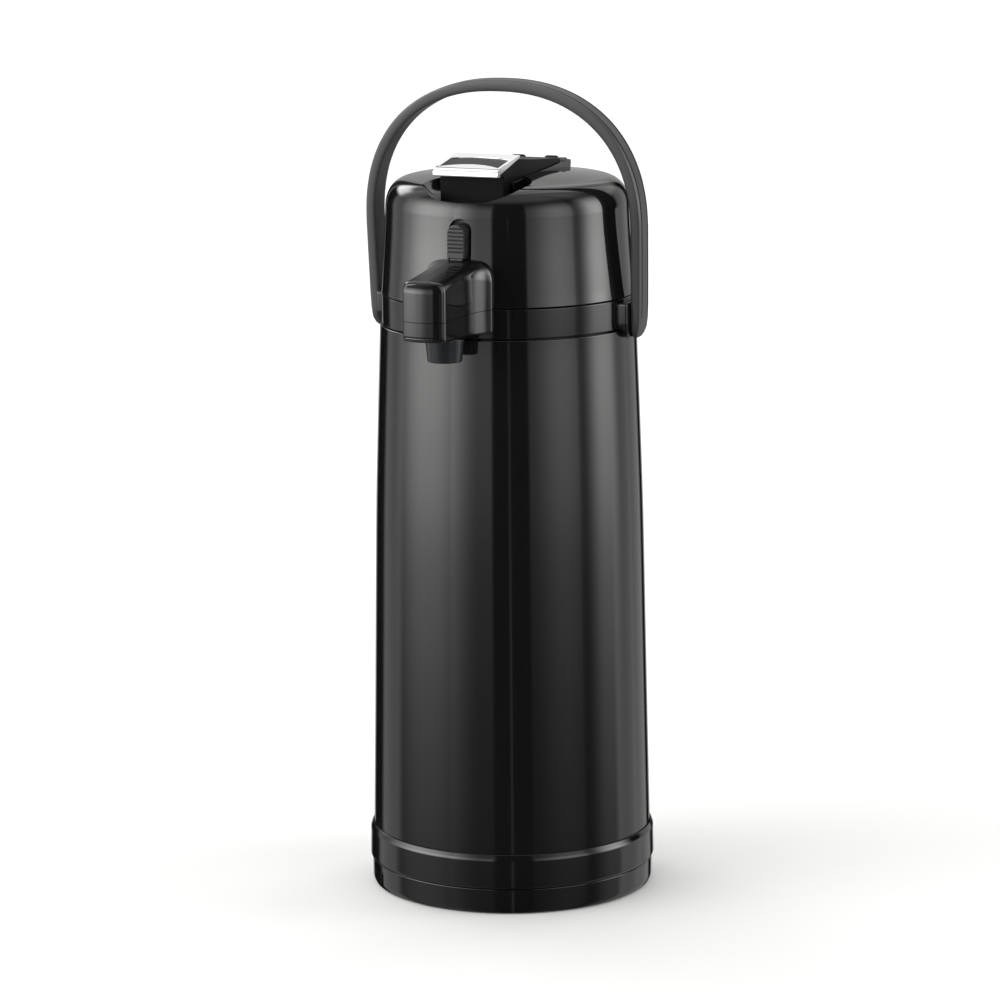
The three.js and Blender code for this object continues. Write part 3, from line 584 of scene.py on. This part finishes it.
def well_tool():
    front, step = WELL["front_y"], WELL["step_y"]
    wide, narrow = WELL["front_half"], WELL["rear_half"]
    half = [(wide, front), (wide, step), (narrow, step), (narrow, WELL["rear_y"])]
    outline = soft([(-a, b, 0.8) for a, b in half] + [(a, b, 0.8) for a, b in reversed(half)],
                   steps=3, closed=True)
    return extrude("well", "z", outline, 376, 402)


def arch(half, bottom_z, arc_z):
    """An outline with straight sides and a round top about arc_z."""
    return [(-half, bottom_z), (half, bottom_z), *circle(0, arc_z, half)[:SMALL // 2 + 1]]


def latch_slot():
    arc_z = LATCH["arc_z"] + LATCH["half"] - LATCH["slot_half"] + LATCH["travel"] + GAP
    return extrude("slot", "y", arch(LATCH["slot_half"], LATCH["slot_bottom_z"], arc_z), -75, -56)


def lid_knuckle():
    y, z = LID_HINGE_Y, LID_HINGE_Z
    arm = soft([(66, 328.2), (68, 328.2, 0.6), (y - 1, z + 0.5), (y + 4.1, z), (y + 3.4, 331.5, 1.5),
                (68, 341, 2), (66, 341)])
    barrel = bevelled(rod("barrel", "x", 4.2, y, z, -11.8, 11.8), 0.4, 2)
    return joined(barrel, bevelled(extrude("arm", "x", arm, -11.8, 11.8), 0.4, 2))


def lever_lug(side):
    y, z = LEVER_HINGE_Y, LEVER_HINGE_Z
    reach = sorted((side * 13.4, side * (WELL["rear_half"] + 0.4)))
    foot = box("lug", (reach[0], y - 4, 385.2), (reach[1], WELL["rear_y"] + 0.4, z))
    return joined(foot, rod("round", "x", 4.6, y, z, *reach))


def make_lid():
    lid = lathe("lid_shell", [(0, LID_BOTTOM_Z), *lid_outline()])
    cut(lid, dish(), cut(lid_room(), dish(LID_WALL)))
    joined(lid, lever_rim())
    cut(lid, well_tool(), latch_slot())
    joined(lid, lid_knuckle())
    for side in (1, -1):
        joined(lid, lever_lug(side))
    cut(lid, rod("pin", "x", 2.3, LEVER_HINGE_Y, LEVER_HINGE_Z, -17.2, 17.2),
        hinge_bore(LID_HINGE_Y, LID_HINGE_Z))
    return finish_piece(lid, "lid", "gloss_black", "lid_dome")


# ---- Spout ----


def spout_section(half, low, high, corner):
    """A section across the spout, flat below and crowned above, as (x, z)."""
    shoulder = high - NOSE["crown"]
    side = soft([(0, low), (half, low, 1.6), (half, shoulder, corner), (0, high)], steps=9)[1:-1]
    flat = side[-1][0]
    under = [(side[0][0] * share, low) for share in (0.25, 0.6)]
    over = [(flat * share, high - NOSE["crown"] * (flat * share / half) ** 2) for share in (0.6, 0.25)]
    right = under + side + over
    return right + [(-x, z) for x, z in reversed(right)]


def spout_stations():
    """Sections from the pad to the nose: (y, half width, bottom, top, corner, share of the lean)."""
    half, nose, end = SPOUT_HALF_WIDTH, SPOUT_NOSE_Y, SPOUT_NOSE_Y + NOSE["roll"] + 2
    plan = [(PAD_HALF_WIDTH, -60, 0), (PAD_HALF_WIDTH, -68, 0), (PAD_HALF_WIDTH - 0.2, -68.4, 0)]
    a, b, c = (Vector(point) for point in FLARE)
    for k in range(11, -1, -1):
        t = 0.96 * k / 11
        point = a * (1 - t) ** 2 + b * (2 * t * (1 - t)) + c * t * t
        plan.append((point.x, point.y, 0))
    plan += [(half, -102, 0.1), (half, -108, 0.45), (half, end, 1)]
    stations = []
    for width, y, lean in plan:
        out = max(-70 - y, 0)
        widening = (width - half) / (PAD_HALF_WIDTH - half)
        stations.append((y, width, SPOUT_BOTTOM_Z + SPOUT_NOSE_RISE * out / (-70 - nose),
                         PAD_TOP_Z - 0.122 * out,
                         NOSE["corner"] + (PAD_CORNER - NOSE["corner"]) * widening ** 0.8, lean))
    return stations


def spout_loft():
    """The spout and its pad as one closed skin with a bowed nose."""
    rings = []
    stations = spout_stations()
    for y, half, low, high, corner, lean in stations:
        ring = []
        for x, z in spout_section(half, low, high, corner):
            slope = 0.082 if z > SEAM_Z else 0.116
            out = NOSE["lean"] - slope * abs(z - SEAM_Z) + NOSE["bow"] * (1 - (x / half) ** 2)
            ring.append(Vector((x, y - lean * out, z)))
        rings.append(ring)
    half, low, high = stations[-1][1:4]
    last, middle, steps = rings[-1], (low + high) / 2, 8
    for k in range(1, steps + 1):
        turn = math.radians(NOSE["turn"]) * k / steps
        inward, ahead = NOSE["roll"] * (1 - math.cos(turn)), NOSE["roll"] * math.sin(turn)
        rings.append([Vector((p.x * (1 - inward / half), p.y - ahead,
                              middle + (p.z - middle) * (1 - inward / (high - middle)))) for p in last])
    bm = bmesh.new()
    made = [[bm.verts.new(p * MM) for p in ring] for ring in rings]
    skin(bm, made)
    bm.faces.new(made[0])
    nose_cap(bm, rings[-1], made[-1])
    return object_from("spout", bm)


def nose_cap(bm, ring, edge):
    """Closes the nose with rows from its right edge to its left that bow forward."""
    columns, half_count = 12, len(ring) // 2
    rows = []
    for k in range(half_count):
        right, left = ring[k], ring[-1 - k]
        row = [edge[k]]
        if 0 < k < half_count - 1:
            for j in range(1, columns):
                share = j / columns
                bow = NOSE["bow"] * 4 * share * (1 - share) * (right.x / SPOUT_HALF_WIDTH) ** 2
                row.append(bm.verts.new((right.lerp(left, share) - Vector((0, bow, 0))) * MM))
        rows.append([*row, edge[-1 - k]])
    for a, b in zip(rows, rows[1:]):
        if len(a) == len(b):
            for j in range(columns):
                bm.faces.new([a[j], a[j + 1], b[j + 1], b[j]])
        else:
            bm.faces.new(a + b[::-1])


def spout_body():
    room = lathe("room", [(0, 300), (COLLAR_RADIUS + 0.4, 300), (COLLAR_RADIUS + 0.4, SEAM_Z + 0.2),
                          (LID_RADIUS + 0.5, SEAM_Z + 0.2), (LID_RADIUS, 333), (67.5, 352),
                          (67.5, 366), (0, 366)])
    return cut(spout_loft(), room)


def spout_hollow():
    nose = SPOUT_NOSE_Y
    side = [(-66, SPOUT_BOTTOM_Z + SPOUT_FLOOR),
            (nose + 2.6, SPOUT_BOTTOM_Z + SPOUT_NOSE_RISE + SPOUT_FLOOR),
            (nose + 1.8, 341), (-106, 345), (-74, 347.4), (-66, 347.4)]
    return extrude("hollow", "x", side, 2.6 - SPOUT_HALF_WIDTH, SPOUT_HALF_WIDTH - 2.6)


def seam_side(clearance, far_z):
    """All that lies on one side of the spout's seam, which falls a little towards the nose."""
    fall = SEAM_DROP * (140 - 72) / (-72 - SPOUT_NOSE_Y)
    line = [(-40, SEAM_Z - clearance), (-72, SEAM_Z - clearance), (-140, SEAM_Z - fall - clearance)]
    return extrude("side", "x", [*line, (-140, far_z), (-40, far_z)], -40, 40)


def make_spout():
    upper = cut(spout_body(), spout_hollow(), box("notch", *LATCH_NOTCH), seam_side(0, 290))
    finish_piece(upper, "pot", "gloss_black", "spout_upper_shell", sharp=40).name = "spout_top"
    lower = cut(spout_body(), spout_hollow(), rod("hole", "z", 8.4, 0, NOZZLE_Y, 310, 319),
                seam_side(GAP, 370),
                *(screw_bore(side) for side in (1, -1)))
    finish_piece(lower, "pot", "gloss_black", "spout_lower_shell", sharp=40).name = "spout_underside"


def make_nozzle():
    low, high = NOZZLE_LOW.z, NOZZLE_HIGH.z
    top = SPOUT_BOTTOM_Z - GAP
    profile = soft([(6, low, 0.3), (9, low, 0.5), (9.2, low + 1.2, 0.4), (10.3, top, 0.3), (8, top),
                    (8, high), (5.4, high), (5.4, 310, 1)], closed=True)
    return finish_piece(lathe("nozzle", profile, 96, closed=True, at=(0, NOZZLE_Y)), "pot",
                        "nozzle_black", "spout_nozzle")


# ---- Carry handle ----


def strap_line(depth):
    """Half of the strap's arch and leg, as (x, z), at a depth inside its outer face."""
    across, up = STRAP_HIGH.x - depth, HANDLE_RISE - depth
    steps = 40
    line = []
    for k in range(steps + 1):
        angle = math.pi / 2 * (1 - k / steps)
        line.append(Vector((across * max(math.cos(angle), 0) ** (2 / HANDLE_POWER),
                            HANDLE_ARCH_Z + up * math.sin(angle) ** (2 / HANDLE_POWER))))
    legs = ((350, 0.25), (335, 0.55), (324, 0.8), (316, 1.2), (311, 2.0), (308, 3.0), (306.2, 4.0))
    for z, inward in legs:
        line.append(Vector((max(STRAP_HIGH.x - inward - depth, LUG["face"] + 0.4), z)))
    return line


def strap_section(inner, outer, half, groove):
    """The strap's closed section, as (across, share of the way from its inner to its outer face)."""
    r = min(1.7, half * 0.5)
    edge = [(half - 0.5, 0.0), (half - 0.1, 0.08), (half, 0.3), (half, 0.7), (half - 0.3, 0.9),
            (half - r, 1.0)]
    lip = min(half * 0.62, half - r - 0.6)
    cuts = [(lip + 0.5, 1.0), (lip + 0.2, 1.0 - groove), (lip - 0.5, 1.0 - groove), (lip - 0.8, 1.0)]
    right = edge + cuts + [(lip * 0.4, 1.0 + groove * 0.15)]
    section = right + [(-a, share) for a, share in reversed(right)]
    section += [(-half * 0.5, 0.0), (half * 0.5, 0.0)]
    return [(a, inner.lerp(outer, share)) for a, share in section]


def make_handle():
    outer, inner = strap_line(0), strap_line(HANDLE_THICKNESS)
    path = [(Vector((-a.x, a.y)), Vector((-b.x, b.y))) for a, b in reversed(list(zip(inner, outer)))]
    path = path[:-1] + list(zip(inner, outer))
    bm = bmesh.new()
    rings = []
    tilt = Matrix.Rotation(HANDLE_LEAN, 3, "X")
    for low, high in path:
        down = max(0.0, 311.5 - high.y) / 5.4
        half = HANDLE_WIDTH / 2 - 3.2 * down ** 2
        groove = 0.0 if high.y < 318 else 0.16
        ring = []
        for across, place in strap_section(low, high, half, groove):
            point = tilt @ Vector((place.x, across, place.y - HANDLE_PIVOT_Z))
            ring.append(bm.verts.new(Vector((point.x, point.y, point.z + HANDLE_PIVOT_Z)) * MM))
        rings.append(ring)
    skin(bm, rings)
    bm.faces.new(rings[0])
    bm.faces.new(rings[-1])
    strap = object_from("carry_strap", bm)
    for side in (1, -1):
        cut(strap, pivot_bore(side))
    return finish_piece(strap, "carry_handle", "satin_black", "handle", sharp=38)


# ---- Lever ----


def chrome_top(y):
    """The height of the chrome plate's upper face at a place along Y."""
    return CHROME_HIGH.z + (y + 27) * 5 / 30.2


def make_lever_arm():
    y, z = LEVER_HINGE_Y, LEVER_HINGE_Z
    plate = bevelled(extrude("lever_body", "x", soft([
        (-38.6, 389.4), (y - 5, 389.4), (y - 5, 396.4, 1.5), (-5, 399.8, 3), (-27, 402.4, 0.5),
        (-38.6, 399.8)]), -LEVER_HALF_WIDTH, LEVER_HALF_WIDTH), 0.7, 3)
    front = bevelled(extrude("front", "x", soft([
        (-49, 378, 1), (-41, 378, 1), (-41, 389.5), (-38.5, 389.5), (-38.5, 399.8), (-54, 396.2),
        (-54, 395), (-49, 395, 0.6)]), -BLOCK_HALF_WIDTH, BLOCK_HALF_WIDTH), 0.5, 3)
    neck = box("neck", (-13, y - 6, z - 3.6), (13, y, z + 4.2))
    knuckle = rod("knuckle", "x", 4.2, y, z, -13, 13)
    humps = [bevelled(rod("hump", "x", 5.4, y, z, *sorted((side * 6.4, side * 13))), 0.8, 3)
             for side in (1, -1)]
    lever = joined(plate, front, neck, knuckle, *humps)
    cut(lever, hinge_bore(y, z))
    return finish_piece(lever, "lever", "lever_black", "lever_arm")


def make_chrome_plate():
    half = CHROME_HIGH.x
    front = CHROME_LOW.y
    profile = soft([(front, 395.3, 0.8), (-54.4, 395.3), (-54.4, 396.5), (-27, 402.85), (-26.2, 403.4, 0.4),
                    (-27, CHROME_HIGH.z, 0.5), (front, 399.4, 3.4)], steps=8, closed=True)
    plate = bevelled(extrude("chrome_frame", "x", profile, -half, half), 0.6, 3)
    return finish_piece(cut(plate, inset_solid("window", 0, 2, 1.0)), "lever", "chrome_trim",
                        "lever_chrome_plate", sharp=24)


def inset_solid(name, margin, above, below):
    """A slab along the chrome's slope whose front and rear edges bow towards the hinge."""
    half = INSET["half"] - margin
    steps = 24
    across = [half * (1 - 2 * k / steps) for k in range(steps + 1)]
    bow = [1 - (x / half) ** 2 for x in across]
    front = [(x, INSET["front_y"] + margin + INSET["front_rise"] * b) for x, b in zip(across, bow)]
    rear = [(x, INSET["rear_y"] - margin + INSET["rear_rise"] * b) for x, b in zip(across, bow)]
    outline = front + rear[::-1]
    bm = bmesh.new()
    ends = [[bm.verts.new(Vector((x, y, chrome_top(y) + depth)) * MM) for x, y in outline]
            for depth in (-below, above)]
    bm.faces.new(ends[0])
    bm.faces.new(ends[1])
    skin(bm, ends)
    return object_from(name, bm)


def make_inset():
    panel = inset_solid("lever_inset", 0.25, -0.3, 0.9)
    return finish_piece(panel, "lever", "inset_panel", "lever_inset_panel")


# ---- Latch ----


def make_slider():
    half, bottom_z, arc_z = LATCH["half"], LATCH["bottom_z"], LATCH["arc_z"]
    face_y = SLIDER_LOW.y + 0.8
    slider = bevelled(extrude("slider", "y", arch(half, bottom_z, arc_z), face_y, -61.8), 0.5, 3)
    joined(slider, box("tongue", (-3.4, -71.5, bottom_z - 2.6), (3.4, -69.2, bottom_z + 1)))
    for k in range(7):
        z = bottom_z + 3 + 2.05 * k
        top = max(z + 1 - arc_z, 0)
        reach = math.sqrt(half ** 2 - top ** 2) - 0.35
        groove = extrude("groove", "x", soft([(face_y - 1, z - 0.15), (face_y + 1.1, z + 0.3, 0.4),
                                              (face_y + 1.1, z + 0.8, 0.4), (face_y - 1, z + 1.25)]),
                         -reach - 2, reach + 2)
        cut(slider, groove)
    return finish_piece(slider, "latch", "latch_black", "latch_slider")


# ---- Pieces that are pressed together ----


def pressed(piece):
    """Gives a piece a mesh of its own, not shared with any other object."""
    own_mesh(piece)


def make_bellows():
    low, high = extent("bellows")
    folds, depth, wall = 3, 8, 1.6
    outer = []
    for i in range(2 * folds + 1):
        radius = high.x - (depth if i % 2 else 0)
        setback = 2.2 if 0 < i < 2 * folds else 0
        outer.append((radius, low.z + (high.z - low.z) * i / (2 * folds), setback))
    inner = [(r - wall, z, setback) for r, z, setback in reversed(outer)]
    sleeve = lathe("bellows_sleeve", soft(outer + inner, closed=True), 128, closed=True)
    finish_piece(sleeve, "lid", "silicone", "bellows")
    pressed(sleeve)


def coil(name, node, turns, wire):
    """A wire coil that fills a CAD node's box."""
    low, high = extent(node)
    radius = (high.y - low.y) / 2 - wire
    middle = (low.y + high.y) / 2
    bm = bmesh.new()
    rings = []
    steps, sides = 40 * turns, 12
    for k in range(steps + 1):
        angle = 2 * math.pi * turns * k / steps
        rise = min(max((k / steps - 0.06) / 0.88, 0), 1)
        z = low.z + wire + (high.z - low.z - 2 * wire) * rise
        out = Vector((math.cos(angle), math.sin(angle), 0))
        ring = [out * (radius + wire * math.cos(t)) + Vector((0, middle, z + wire * math.sin(t)))
                for t in (2 * math.pi * j / sides for j in range(sides))]
        rings.append([bm.verts.new(point * MM) for point in ring])
    skin(bm, rings)
    bm.faces.new(rings[0])
    bm.faces.new(rings[-1])
    return object_from(name, bm)


def make_springs():
    spring = coil("pump_spring", "return_spring", 4, 0.9)
    finish_piece(spring, "lid", "spring_steel", "return_spring")
    pressed(spring)
    spring = coil("slider_spring", "latch_spring", 4, 0.35)
    finish_piece(spring, "lid", "spring_steel", "latch_spring")
    pressed(spring)


# ---- Studio ----


def make_floor():
    bm = bmesh.new()
    bmesh.ops.create_grid(bm, x_segments=1, y_segments=1, size=FLOOR_REACH)
    floor = object_from("floor", bm)
    floor.data.materials.append(surface("floor_paper", grey(0.93), grey(0.95), (0.8, 0.9), 3, 400, 0.02))
    floor.visible_glossy = False


# Soft panels round the pot: the middle and half the width of each, in degrees from the
# camera (positive to its right), how soft its edges are, and its brightness.
LIGHTS = (
    (-74, 26, 44, 6.9),  # the key on the left
    (-33.5, 18.5, 3, 1.3),  # its spill, which ends in a hard edge
    (40, 23, 3, 0.75),  # fill on the right
    (48, 16, 30, 1.9),
    (90, 13, 22, 5.8),  # a narrow strip far to the right
)
WALLS = (
    (180, 16, 6, 0.5),  # behind the pot
    (-122, 15, 10, 0.6),  # a pale wall on the left
    (139, 13, 8, 0.6),  # and one on the right
)
LOW_WALLS = (
    (113, 14, 8, 0.7),
    (0, 0.9, 0.6, 0.3),  # a thin light line between the panels
)
BACKDROP = (180, 60, 30, 0.6)  # behind the pot too, but only well above the horizon
BACK_LIGHT = (-146, 13, 14, 4.5)  # a lamp behind and above on the left


def make_world():
    """Soft panels round the pot with a dark gap in front, and white to the camera."""
    world = bpy.data.worlds.new("studio")
    world.use_nodes = True
    bpy.context.scene.world = world
    graph = Graph(world.node_tree)
    way = graph.node("ShaderNodeTexCoord").outputs["Generated"]
    side, front = math.cos(CAMERA_AZIMUTH), math.sin(CAMERA_AZIMUTH)

    def along(x, y, z):
        return graph.node("ShaderNodeVectorMath", {0: way, 1: (x, y, z)},
                          operation="DOT_PRODUCT").outputs["Value"]

    def total(parts):
        whole = parts[0]
        for part in parts[1:]:
            whole = graph.math("ADD", whole, part)
        return whole

    degrees = 180 / math.pi
    across, ahead = along(side, front, 0), along(front, -side, 0)
    turn = graph.math("MULTIPLY", graph.math("ARCTAN2", across, ahead), degrees)
    height = graph.math("MULTIPLY", graph.math("ARCSINE", along(0, 0, 1)), degrees)

    def panel(middle, half, soft_edge, level):
        away = graph.math("PINGPONG", graph.math("SUBTRACT", turn, middle), 180)
        return graph.step(away, half - soft_edge / 2, half + soft_edge / 2, level, 0)

    rise = graph.step(height, -15, 1, 0.07, 1)
    lights = graph.math("MULTIPLY", total([panel(*light) for light in LIGHTS]),
                        graph.math("MULTIPLY", rise, graph.step(height, 12, 44, 1, 0.06)))
    low_walls = graph.math("MULTIPLY", total([panel(*wall) for wall in LOW_WALLS]),
                           graph.step(height, -4, -1, 1, 0))
    backdrop = graph.math("MULTIPLY", panel(*BACKDROP), graph.step(height, 15, 26, 0, 1))
    band = graph.math("MULTIPLY", graph.step(height, 14, 20, 0, 1), graph.step(height, 28, 36, 1, 0))
    back_light = graph.math("MULTIPLY", panel(*BACK_LIGHT), band)
    overhead = graph.step(height, 36, 60, 0, 0.75)
    light = total([lights, low_walls, backdrop, back_light, overhead, *(panel(*wall) for wall in WALLS)])
    seen = graph.node("ShaderNodeLightPath").outputs["Is Camera Ray"]
    studio = graph.node("ShaderNodeBackground", {"Color": (1, 0.995, 0.985, 1), "Strength": light})
    paper = graph.node("ShaderNodeBackground", {"Color": (1, 1, 1, 1), "Strength": 1.0})
    mixed = graph.node("ShaderNodeMixShader", {0: seen, 1: studio.outputs[0], 2: paper.outputs[0]})
    graph.node("ShaderNodeOutputWorld", {"Surface": mixed.outputs[0]})


def make_camera():
    data = bpy.data.cameras.new("camera")
    data.lens = CAMERA["lens"]
    data.sensor_width = 36
    data.clip_end = 100
    camera = bpy.data.objects.new("camera", data)
    bpy.context.scene.collection.objects.link(camera)
    pitch, roll = math.radians(CAMERA["pitch"]), math.radians(-CAMERA["roll"])
    outward = Vector((math.sin(CAMERA_AZIMUTH), -math.cos(CAMERA_AZIMUTH), 0))
    right = Vector((math.cos(CAMERA_AZIMUTH), math.sin(CAMERA_AZIMUTH), 0))
    back = outward * math.cos(pitch) + Vector((0, 0, math.sin(pitch)))
    up = back.cross(right)
    level = right * math.cos(roll) + up * math.sin(roll)
    rise = up * math.cos(roll) - right * math.sin(roll)
    place = outward * CAMERA["distance"] - right * CAMERA["aside"] + Vector((0, 0, CAMERA["height"]))
    camera.matrix_world = Matrix.Translation(place * MM) @ Matrix((level, rise, back)).transposed().to_4x4()
    bpy.context.scene.camera = camera


def main():
    make_camera()
    make_world()
    make_floor()
    bpy.context.scene.view_settings.view_transform = "Standard"
    paint_frame()
    make_foot()
    make_rubber_ring()
    make_band()
    make_body()
    make_collar()
    make_lid()
    make_spout()
    make_nozzle()
    make_handle()
    make_lever_arm()
    make_chrome_plate()
    make_inset()
    make_slider()
    make_bellows()
    make_springs()


main()
